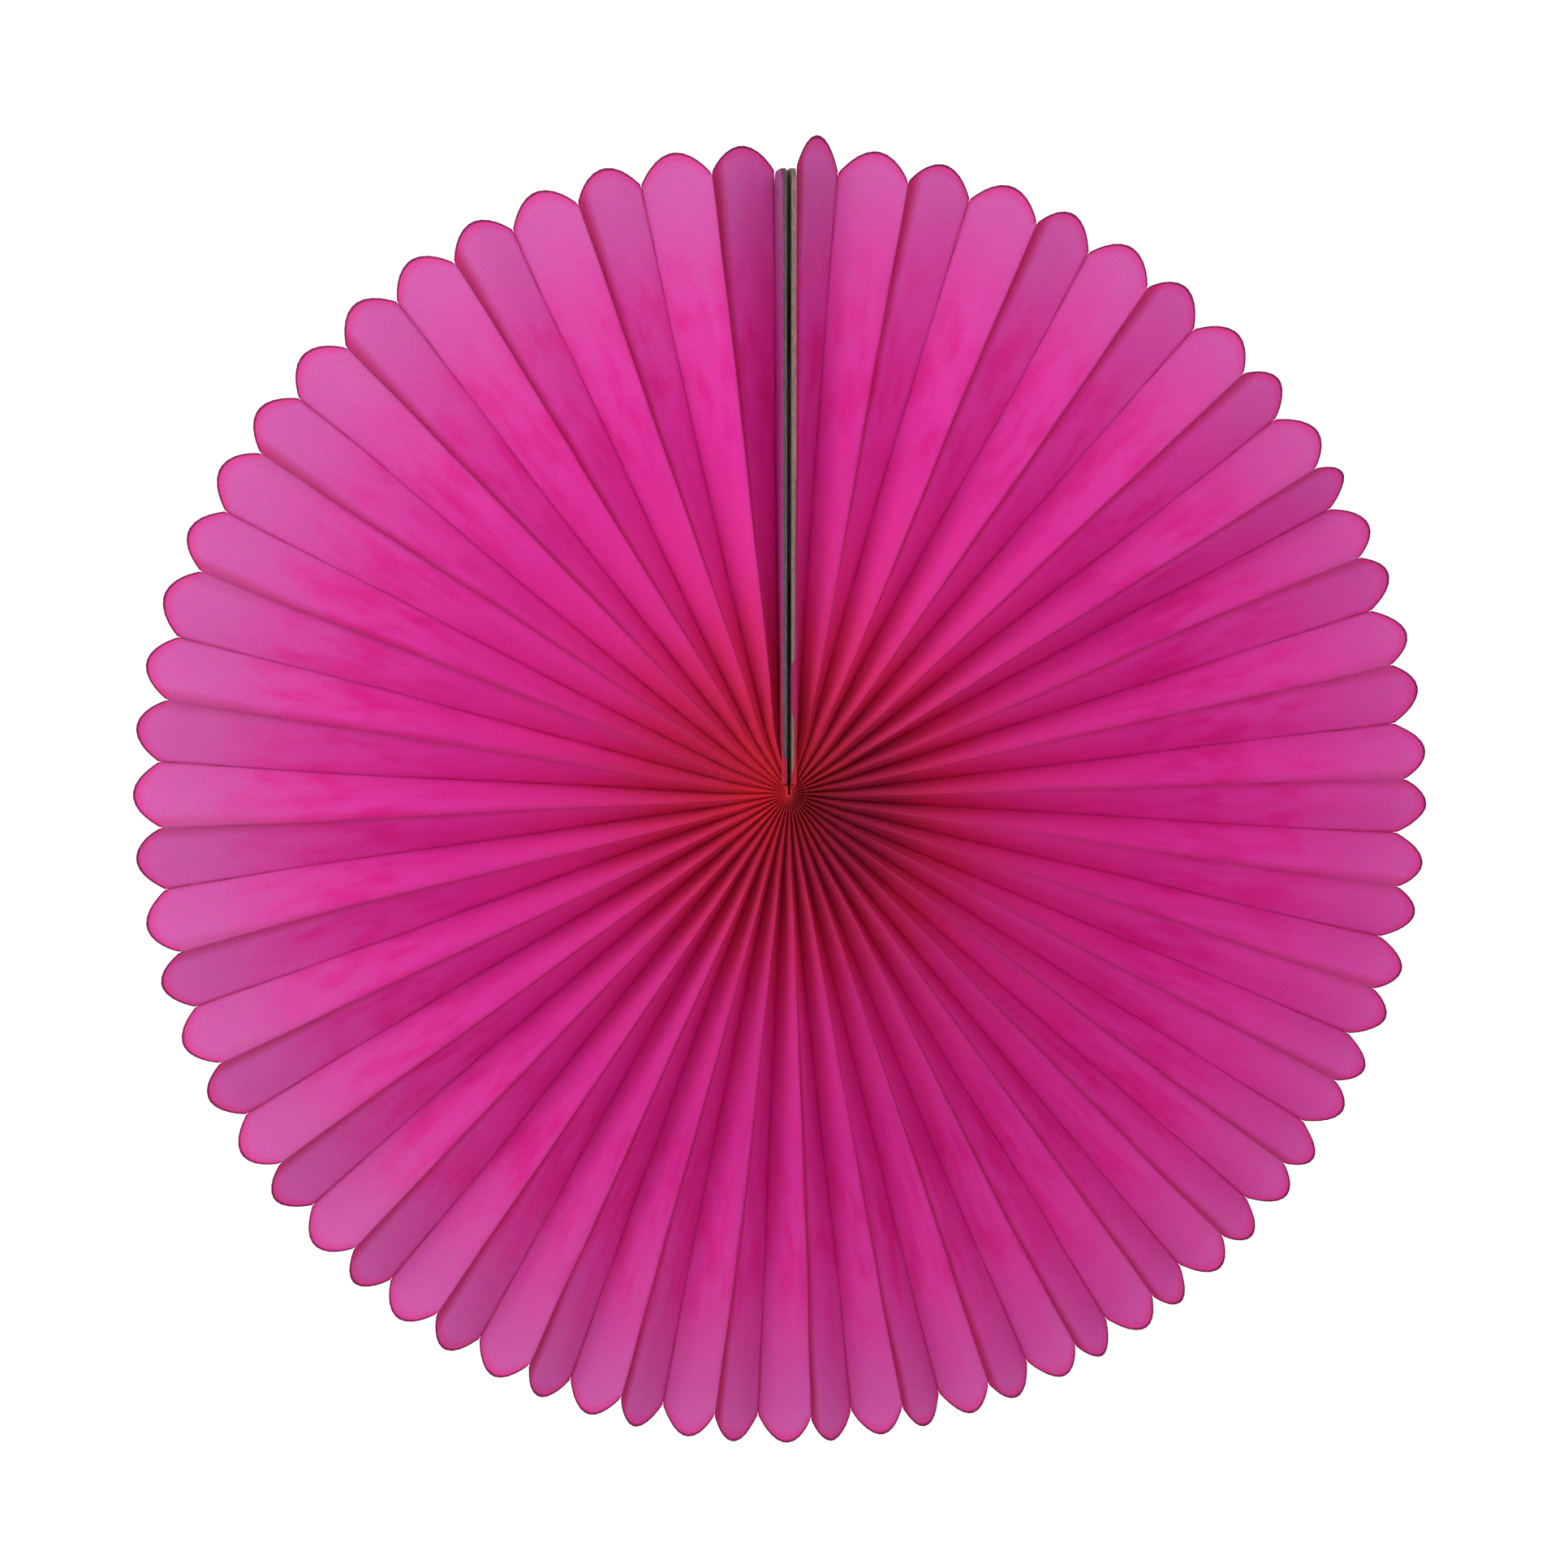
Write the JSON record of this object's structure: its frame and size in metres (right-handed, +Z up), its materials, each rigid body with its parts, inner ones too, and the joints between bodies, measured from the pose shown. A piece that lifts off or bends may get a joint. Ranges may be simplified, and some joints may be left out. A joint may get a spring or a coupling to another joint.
{
  "type": "tissue paper fan rosette",
  "caption": "Round tissue-paper fan opened through a full turn: thin glued leaves in V-shaped cells between two board ends, folding flat.",
  "frame": {"origin": "on the hub axis, halfway through the depth, with the fan fully open", "axes": "+Z up along the seam between the two boards, +Y along the hub axis to the back, so the front faces -Y, +X to the right as seen from the front"},
  "size_m": [0.4562, 0.026, 0.4558],
  "materials": {
    "tissue": "matte, thin and translucent, deep red at the hub to pale pink at the rim",
    "board": "solid grey chipboard, which is pressed paper pulp",
    "thread": "crimson cotton thread",
    "foam_tape": "near-black foam, because the seam gap looks near-black all along"
  },
  "bodies": {
    "left_board": {"left_board": "board", "left_facing_leaf": "tissue", "seam_tape_inner": "foam_tape", "seam_tape_outer": "foam_tape", "hub_thread_front": "thread", "hub_thread_back": "thread"},
    "leaf_pair_34": {"leaf_pair_34": "tissue"},
    "leaf_pair_33": {"leaf_pair_33": "tissue"},
    "leaf_pair_32": {"leaf_pair_32": "tissue"},
    "leaf_pair_31": {"leaf_pair_31": "tissue"},
    "leaf_pair_30": {"leaf_pair_30": "tissue"},
    "leaf_pair_29": {"leaf_pair_29": "tissue"},
    "leaf_pair_28": {"leaf_pair_28": "tissue"},
    "leaf_pair_27": {"leaf_pair_27": "tissue"},
    "leaf_pair_26": {"leaf_pair_26": "tissue"},
    "leaf_pair_25": {"leaf_pair_25": "tissue"},
    "leaf_pair_24": {"leaf_pair_24": "tissue"},
    "leaf_pair_23": {"leaf_pair_23": "tissue"},
    "leaf_pair_22": {"leaf_pair_22": "tissue"},
    "leaf_pair_21": {"leaf_pair_21": "tissue"},
    "leaf_pair_20": {"leaf_pair_20": "tissue"},
    "leaf_pair_19": {"leaf_pair_19": "tissue"},
    "leaf_pair_18": {"leaf_pair_18": "tissue"},
    "leaf_pair_17": {"leaf_pair_17": "tissue"},
    "leaf_pair_16": {"leaf_pair_16": "tissue"},
    "leaf_pair_15": {"leaf_pair_15": "tissue"},
    "leaf_pair_14": {"leaf_pair_14": "tissue"},
    "leaf_pair_13": {"leaf_pair_13": "tissue"},
    "leaf_pair_12": {"leaf_pair_12": "tissue"},
    "leaf_pair_11": {"leaf_pair_11": "tissue"},
    "leaf_pair_10": {"leaf_pair_10": "tissue"},
    "leaf_pair_09": {"leaf_pair_09": "tissue"},
    "leaf_pair_08": {"leaf_pair_08": "tissue"},
    "leaf_pair_07": {"leaf_pair_07": "tissue"},
    "leaf_pair_06": {"leaf_pair_06": "tissue"},
    "leaf_pair_05": {"leaf_pair_05": "tissue"},
    "leaf_pair_04": {"leaf_pair_04": "tissue"},
    "leaf_pair_03": {"leaf_pair_03": "tissue"},
    "leaf_pair_02": {"leaf_pair_02": "tissue"},
    "leaf_pair_01": {"leaf_pair_01": "tissue"},
    "right_board": {"right_board": "board", "right_facing_leaf": "tissue", "first_leaf": "tissue"}
  },
  "joints": [
    {"name": "pair_34_fold", "type": "hinge", "parent": "left_board", "child": "leaf_pair_34", "pos_m": [-0.00062, 0, 0.00158], "axis": [0, 1, 0], "range_deg": [0, 6.31], "deforming": ["leaf_pair_34", "hub_thread_front", "hub_thread_back"]},
    {"name": "pair_33_fold", "type": "hinge", "parent": "leaf_pair_34", "child": "leaf_pair_33", "pos_m": [-0.00076, 0, 0.00104], "axis": [0, 1, 0], "range_deg": [0, 12.66], "deforming": ["leaf_pair_33"]},
    {"name": "pair_32_fold", "type": "hinge", "parent": "leaf_pair_33", "child": "leaf_pair_32", "pos_m": [-0.00094, 0, 0.00088], "axis": [0, 1, 0], "range_deg": [0, 12.66], "deforming": ["leaf_pair_32"]},
    {"name": "pair_31_fold", "type": "hinge", "parent": "leaf_pair_32", "child": "leaf_pair_31", "pos_m": [-0.0011, 0, 0.00069], "axis": [0, 1, 0], "range_deg": [0, 12.6], "deforming": ["leaf_pair_31"]},
    {"name": "pair_30_fold", "type": "hinge", "parent": "leaf_pair_31", "child": "leaf_pair_30", "pos_m": [-0.00122, 0, 0.00048], "axis": [0, 1, 0], "range_deg": [0, 12.46], "deforming": ["leaf_pair_30"]},
    {"name": "pair_29_fold", "type": "hinge", "parent": "leaf_pair_30", "child": "leaf_pair_29", "pos_m": [-0.0013, 0, 0.00025], "axis": [0, 1, 0], "range_deg": [0, 12.26], "deforming": ["leaf_pair_29"]},
    {"name": "pair_28_fold", "type": "hinge", "parent": "leaf_pair_29", "child": "leaf_pair_28", "pos_m": [-0.00134, 0, 0.00002], "axis": [0, 1, 0], "range_deg": [0, 12.01], "deforming": ["leaf_pair_28"]},
    {"name": "pair_27_fold", "type": "hinge", "parent": "leaf_pair_28", "child": "leaf_pair_27", "pos_m": [-0.00134, 0, -0.00022], "axis": [0, 1, 0], "range_deg": [0, 11.71], "deforming": ["leaf_pair_27"]},
    {"name": "pair_26_fold", "type": "hinge", "parent": "leaf_pair_27", "child": "leaf_pair_26", "pos_m": [-0.0013, 0, -0.00046], "axis": [0, 1, 0], "range_deg": [0, 11.37], "deforming": ["leaf_pair_26"]},
    {"name": "pair_25_fold", "type": "hinge", "parent": "leaf_pair_26", "child": "leaf_pair_25", "pos_m": [-0.00122, 0, -0.00067], "axis": [0, 1, 0], "range_deg": [0, 11], "deforming": ["leaf_pair_25"]},
    {"name": "pair_24_fold", "type": "hinge", "parent": "leaf_pair_25", "child": "leaf_pair_24", "pos_m": [-0.00112, 0, -0.00088], "axis": [0, 1, 0], "range_deg": [0, 10.62], "deforming": ["leaf_pair_24"]},
    {"name": "pair_23_fold", "type": "hinge", "parent": "leaf_pair_24", "child": "leaf_pair_23", "pos_m": [-0.00098, 0, -0.00106], "axis": [0, 1, 0], "range_deg": [0, 10.24], "deforming": ["leaf_pair_23"]},
    {"name": "pair_22_fold", "type": "hinge", "parent": "leaf_pair_23", "child": "leaf_pair_22", "pos_m": [-0.00082, 0, -0.00121], "axis": [0, 1, 0], "range_deg": [0, 9.87], "deforming": ["leaf_pair_22"]},
    {"name": "pair_21_fold", "type": "hinge", "parent": "leaf_pair_22", "child": "leaf_pair_21", "pos_m": [-0.00065, 0, -0.00134], "axis": [0, 1, 0], "range_deg": [0, 9.52], "deforming": ["leaf_pair_21"]},
    {"name": "pair_20_fold", "type": "hinge", "parent": "leaf_pair_21", "child": "leaf_pair_20", "pos_m": [-0.00046, 0, -0.00144], "axis": [0, 1, 0], "range_deg": [0, 9.2], "deforming": ["leaf_pair_20"]},
    {"name": "pair_19_fold", "type": "hinge", "parent": "leaf_pair_20", "child": "leaf_pair_19", "pos_m": [-0.00026, 0, -0.00151], "axis": [0, 1, 0], "range_deg": [0, 8.93], "deforming": ["leaf_pair_19"]},
    {"name": "pair_18_fold", "type": "hinge", "parent": "leaf_pair_19", "child": "leaf_pair_18", "pos_m": [-0.00005, 0, -0.00154], "axis": [0, 1, 0], "range_deg": [0, 8.72], "deforming": ["leaf_pair_18"]},
    {"name": "pair_17_fold", "type": "hinge", "parent": "leaf_pair_18", "child": "leaf_pair_17", "pos_m": [0.00015, 0, -0.00155], "axis": [0, 1, 0], "range_deg": [0, 8.56], "deforming": ["leaf_pair_17"]},
    {"name": "pair_16_fold", "type": "hinge", "parent": "leaf_pair_17", "child": "leaf_pair_16", "pos_m": [0.00035, 0, -0.00152], "axis": [0, 1, 0], "range_deg": [0, 8.47], "deforming": ["leaf_pair_16"]},
    {"name": "pair_15_fold", "type": "hinge", "parent": "leaf_pair_16", "child": "leaf_pair_15", "pos_m": [0.00055, 0, -0.00146], "axis": [0, 1, 0], "range_deg": [0, 8.45], "deforming": ["leaf_pair_15"]},
    {"name": "pair_14_fold", "type": "hinge", "parent": "leaf_pair_15", "child": "leaf_pair_14", "pos_m": [0.00073, 0, -0.00137], "axis": [0, 1, 0], "range_deg": [0, 8.5], "deforming": ["leaf_pair_14"]},
    {"name": "pair_13_fold", "type": "hinge", "parent": "leaf_pair_14", "child": "leaf_pair_13", "pos_m": [0.0009, 0, -0.00126], "axis": [0, 1, 0], "range_deg": [0, 8.62], "deforming": ["leaf_pair_13"]},
    {"name": "pair_12_fold", "type": "hinge", "parent": "leaf_pair_13", "child": "leaf_pair_12", "pos_m": [0.00105, 0, -0.00112], "axis": [0, 1, 0], "range_deg": [0, 8.8], "deforming": ["leaf_pair_12"]},
    {"name": "pair_11_fold", "type": "hinge", "parent": "leaf_pair_12", "child": "leaf_pair_11", "pos_m": [0.00117, 0, -0.00095], "axis": [0, 1, 0], "range_deg": [0, 9.04], "deforming": ["leaf_pair_11"]},
    {"name": "pair_10_fold", "type": "hinge", "parent": "leaf_pair_11", "child": "leaf_pair_10", "pos_m": [0.00127, 0, -0.00077], "axis": [0, 1, 0], "range_deg": [0, 9.33], "deforming": ["leaf_pair_10"]},
    {"name": "pair_09_fold", "type": "hinge", "parent": "leaf_pair_10", "child": "leaf_pair_09", "pos_m": [0.00135, 0, -0.00057], "axis": [0, 1, 0], "range_deg": [0, 9.67], "deforming": ["leaf_pair_09"]},
    {"name": "pair_08_fold", "type": "hinge", "parent": "leaf_pair_09", "child": "leaf_pair_08", "pos_m": [0.00139, 0, -0.00036], "axis": [0, 1, 0], "range_deg": [0, 10.03], "deforming": ["leaf_pair_08"]},
    {"name": "pair_07_fold", "type": "hinge", "parent": "leaf_pair_08", "child": "leaf_pair_07", "pos_m": [0.00141, 0, -0.00014], "axis": [0, 1, 0], "range_deg": [0, 10.41], "deforming": ["leaf_pair_07"]},
    {"name": "pair_06_fold", "type": "hinge", "parent": "leaf_pair_07", "child": "leaf_pair_06", "pos_m": [0.00139, 0, 0.00008], "axis": [0, 1, 0], "range_deg": [0, 10.76], "deforming": ["leaf_pair_06"]},
    {"name": "pair_05_fold", "type": "hinge", "parent": "leaf_pair_06", "child": "leaf_pair_05", "pos_m": [0.00143, 0, 0.00032], "axis": [0, 1, 0], "range_deg": [0, 9.31], "deforming": ["leaf_pair_05"]},
    {"name": "pair_04_fold", "type": "hinge", "parent": "leaf_pair_05", "child": "leaf_pair_04", "pos_m": [0.00128, 0, 0.00048], "axis": [0, 1, 0], "range_deg": [0, 11.04], "deforming": ["leaf_pair_04"]},
    {"name": "pair_03_fold", "type": "hinge", "parent": "leaf_pair_04", "child": "leaf_pair_03", "pos_m": [0.00115, 0, 0.00066], "axis": [0, 1, 0], "range_deg": [0, 11.85], "deforming": ["leaf_pair_03"]},
    {"name": "pair_02_fold", "type": "hinge", "parent": "leaf_pair_03", "child": "leaf_pair_02", "pos_m": [0.001, 0, 0.00085], "axis": [0, 1, 0], "range_deg": [0, 12.13], "deforming": ["leaf_pair_02"]},
    {"name": "pair_01_fold", "type": "hinge", "parent": "leaf_pair_02", "child": "leaf_pair_01", "pos_m": [0.00082, 0, 0.001], "axis": [0, 1, 0], "range_deg": [0, 12.36], "deforming": ["leaf_pair_01"]},
    {"name": "right_board_fold", "type": "hinge", "parent": "leaf_pair_01", "child": "right_board", "pos_m": [0.00064, 0, 0.00119], "axis": [0, 1, 0], "range_deg": [0, 10.63], "deforming": ["first_leaf"]}
  ],
  "couplings": [
    {"joint": "pair_34_fold", "follows": "pair_33_fold", "ratio": 0.49821},
    {"joint": "pair_32_fold", "follows": "pair_33_fold", "ratio": 1.0002},
    {"joint": "pair_31_fold", "follows": "pair_33_fold", "ratio": 0.99488},
    {"joint": "pair_30_fold", "follows": "pair_33_fold", "ratio": 0.98426},
    {"joint": "pair_29_fold", "follows": "pair_33_fold", "ratio": 0.96867},
    {"joint": "pair_28_fold", "follows": "pair_33_fold", "ratio": 0.94863},
    {"joint": "pair_27_fold", "follows": "pair_33_fold", "ratio": 0.9248},
    {"joint": "pair_26_fold", "follows": "pair_33_fold", "ratio": 0.89797},
    {"joint": "pair_25_fold", "follows": "pair_33_fold", "ratio": 0.86903},
    {"joint": "pair_24_fold", "follows": "pair_33_fold", "ratio": 0.83894},
    {"joint": "pair_23_fold", "follows": "pair_33_fold", "ratio": 0.80869},
    {"joint": "pair_22_fold", "follows": "pair_33_fold", "ratio": 0.77928},
    {"joint": "pair_21_fold", "follows": "pair_33_fold", "ratio": 0.75169},
    {"joint": "pair_20_fold", "follows": "pair_33_fold", "ratio": 0.72682},
    {"joint": "pair_19_fold", "follows": "pair_33_fold", "ratio": 0.7055},
    {"joint": "pair_18_fold", "follows": "pair_33_fold", "ratio": 0.68844},
    {"joint": "pair_17_fold", "follows": "pair_33_fold", "ratio": 0.6762},
    {"joint": "pair_16_fold", "follows": "pair_33_fold", "ratio": 0.66918},
    {"joint": "pair_15_fold", "follows": "pair_33_fold", "ratio": 0.66761},
    {"joint": "pair_14_fold", "follows": "pair_33_fold", "ratio": 0.67156},
    {"joint": "pair_13_fold", "follows": "pair_33_fold", "ratio": 0.68088},
    {"joint": "pair_12_fold", "follows": "pair_33_fold", "ratio": 0.69527},
    {"joint": "pair_11_fold", "follows": "pair_33_fold", "ratio": 0.71426},
    {"joint": "pair_10_fold", "follows": "pair_33_fold", "ratio": 0.73721},
    {"joint": "pair_09_fold", "follows": "pair_33_fold", "ratio": 0.76336},
    {"joint": "pair_08_fold", "follows": "pair_33_fold", "ratio": 0.79186},
    {"joint": "pair_07_fold", "follows": "pair_33_fold", "ratio": 0.82176},
    {"joint": "pair_06_fold", "follows": "pair_33_fold", "ratio": 0.8495},
    {"joint": "pair_05_fold", "follows": "pair_33_fold", "ratio": 0.73486},
    {"joint": "pair_04_fold", "follows": "pair_33_fold", "ratio": 0.87164},
    {"joint": "pair_03_fold", "follows": "pair_33_fold", "ratio": 0.93553},
    {"joint": "pair_02_fold", "follows": "pair_33_fold", "ratio": 0.95782},
    {"joint": "pair_01_fold", "follows": "pair_33_fold", "ratio": 0.976},
    {"joint": "right_board_fold", "follows": "pair_33_fold", "ratio": 0.83935}
  ]
}
